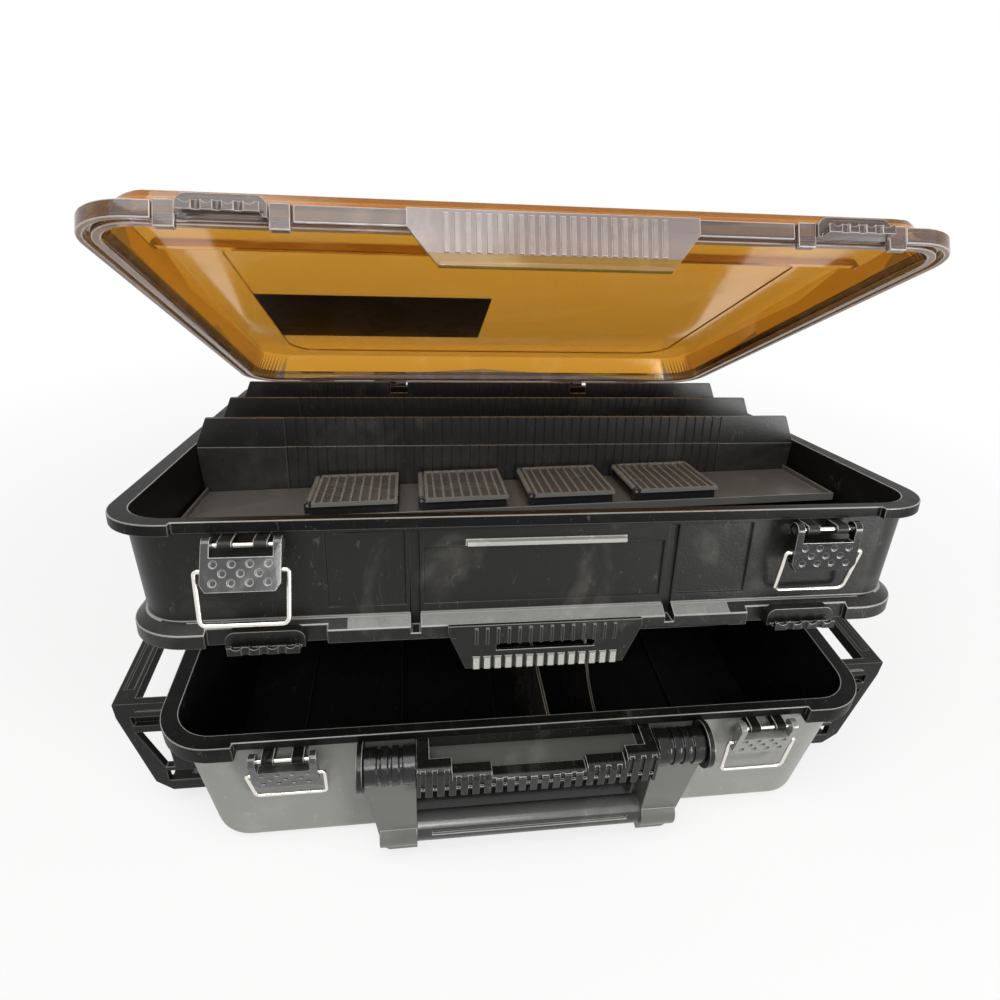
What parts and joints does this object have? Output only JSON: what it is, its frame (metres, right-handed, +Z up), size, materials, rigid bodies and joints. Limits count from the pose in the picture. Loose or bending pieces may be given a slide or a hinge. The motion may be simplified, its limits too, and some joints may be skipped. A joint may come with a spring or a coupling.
{
  "type": "two-stage fishing tackle box",
  "caption": "Fishing tackle box with a deep tub, a hinged upper case with slotted partitions and small lidded boxes, a hinged amber lid, draw latches and a carrying handle.",
  "frame": {"origin": "centre of the tub's footprint on the floor", "axes": "+X to the right as seen from the front, +Y to the rear hinges, +Z up"},
  "size_m": [0.48, 0.3907, 0.3589],
  "materials": {
    "case_plastic": "fine-grained black",
    "insert_plastic": "smooth black",
    "handle_plastic": "satin dark grey",
    "latch_plastic": "glossy black",
    "amber_plastic": "clear amber",
    "clear_plastic": "clear grey",
    "label": "plain dark film",
    "steel": "bright drawn wire"
  },
  "bodies": {
    "tub": {"tub_shell": "case_plastic", "side_frame_left": "case_plastic", "side_frame_right": "case_plastic", "tub_divider": "case_plastic", "tub_divider_curved": "case_plastic", "tub_hinge_pins": "steel", "handle_base": "handle_plastic", "handle_pin_left": "steel", "handle_pin_right": "steel", "lower_latch_rod_left": "steel", "lower_latch_rod_right": "steel"},
    "handle": {"handle_frame": "handle_plastic", "handle_grip": "handle_plastic"},
    "upper_case": {"upper_case_shell": "case_plastic", "comb_skirt": "case_plastic", "partition_front": "insert_plastic", "partition_middle": "insert_plastic", "partition_rear": "insert_plastic", "lid_hinge_pins": "steel", "keeper_left": "case_plastic", "keeper_right": "case_plastic", "upper_latch_rod_left": "steel", "upper_latch_rod_right": "steel"},
    "tray": {"parts_tray": "insert_plastic", "small_box_1": "insert_plastic", "small_box_2": "insert_plastic", "small_box_3": "insert_plastic", "small_box_4": "insert_plastic"},
    "lid": {"lid_shell": "amber_plastic", "lid_skirt": "clear_plastic", "lid_label": "label", "lid_catch_left": "clear_plastic", "lid_catch_right": "clear_plastic"},
    "lower_lever_left": {"lower_latch_lever_left": "latch_plastic"},
    "lower_bail_left": {"lower_latch_bail_left": "steel"},
    "upper_lever_left": {"upper_latch_lever_left": "latch_plastic"},
    "upper_bail_left": {"upper_latch_bail_left": "steel"},
    "lower_lever_right": {"lower_latch_lever_right": "latch_plastic"},
    "lower_bail_right": {"lower_latch_bail_right": "steel"},
    "upper_lever_right": {"upper_latch_lever_right": "latch_plastic"},
    "upper_bail_right": {"upper_latch_bail_right": "steel"},
    "box_lid_1": {"small_box_lid_1": "insert_plastic"},
    "box_lid_2": {"small_box_lid_2": "insert_plastic"},
    "box_lid_3": {"small_box_lid_3": "insert_plastic"},
    "box_lid_4": {"small_box_lid_4": "insert_plastic"}
  },
  "joints": [
    {"name": "upper_case_hinge", "type": "hinge", "parent": "tub", "child": "upper_case", "pos_m": [0, 0.1795, 0.0956], "axis": [-1, 0, 0], "range_deg": [-10.57, 69.43]},
    {"name": "lid_hinge", "type": "hinge", "parent": "upper_case", "child": "lid", "pos_m": [0, 0.19164, 0.16068], "axis": [-1, 0, 0], "range_deg": [-21.42, 73.58]},
    {"name": "handle_swing", "type": "hinge", "parent": "tub", "child": "handle", "pos_m": [0, -0.1815, 0.0812], "axis": [-1, 0, 0], "range_deg": [0, 103]},
    {"name": "tray_tip", "type": "hinge", "parent": "upper_case", "child": "tray", "pos_m": [-0.20081, 0.00904, 0.16067], "axis": [0, -0.983, 0.1834], "range_deg": [-1.5, 13]},
    {"name": "lower_lever_left_swing", "type": "hinge", "parent": "tub", "child": "lower_lever_left", "pos_m": [-0.14, -0.1764, 0.0856], "axis": [-1, 0, 0], "range_deg": [0, 160]},
    {"name": "lower_bail_left_swing", "type": "hinge", "parent": "lower_lever_left", "child": "lower_bail_left", "pos_m": [-0.14, -0.17599, 0.07349], "axis": [1, 0, 0], "range_deg": [-186.33, 0]},
    {"name": "upper_lever_left_swing", "type": "hinge", "parent": "upper_case", "child": "upper_lever_left", "pos_m": [-0.1455, -0.16005, 0.21613], "axis": [-1, 0, 0], "range_deg": [-30, 120]},
    {"name": "upper_bail_left_swing", "type": "hinge", "parent": "upper_lever_left", "child": "upper_bail_left", "pos_m": [-0.1455, -0.16915, 0.20812], "axis": [1, 0, 0], "range_deg": [-197, 0]},
    {"name": "lower_lever_right_swing", "type": "hinge", "parent": "tub", "child": "lower_lever_right", "pos_m": [0.14, -0.1764, 0.0856], "axis": [-1, 0, 0], "range_deg": [0, 160]},
    {"name": "lower_bail_right_swing", "type": "hinge", "parent": "lower_lever_right", "child": "lower_bail_right", "pos_m": [0.14, -0.17599, 0.07349], "axis": [1, 0, 0], "range_deg": [-174.33, 12]},
    {"name": "upper_lever_right_swing", "type": "hinge", "parent": "upper_case", "child": "upper_lever_right", "pos_m": [0.1455, -0.16005, 0.21613], "axis": [-1, 0, 0], "range_deg": [0, 150]},
    {"name": "upper_bail_right_swing", "type": "hinge", "parent": "upper_lever_right", "child": "upper_bail_right", "pos_m": [0.1455, -0.16392, 0.20465], "axis": [1, 0, 0], "range_deg": [-192, 5]},
    {"name": "box_lid_1_hinge", "type": "hinge", "parent": "tray", "child": "box_lid_1", "pos_m": [-0.12864, -0.05739, 0.18517], "axis": [0, -0.983, 0.1834], "range_deg": [0, 105]},
    {"name": "box_lid_2_hinge", "type": "hinge", "parent": "tray", "child": "box_lid_2", "pos_m": [-0.06216, -0.05707, 0.18688], "axis": [0, -0.983, 0.1834], "range_deg": [0, 105]},
    {"name": "box_lid_3_hinge", "type": "hinge", "parent": "tray", "child": "box_lid_3", "pos_m": [0.00432, -0.05675, 0.18859], "axis": [0, -0.983, 0.1834], "range_deg": [0, 105]},
    {"name": "box_lid_4_hinge", "type": "hinge", "parent": "tray", "child": "box_lid_4", "pos_m": [0.07079, -0.05643, 0.1903], "axis": [0, -0.983, 0.1834], "range_deg": [0, 105]}
  ]
}
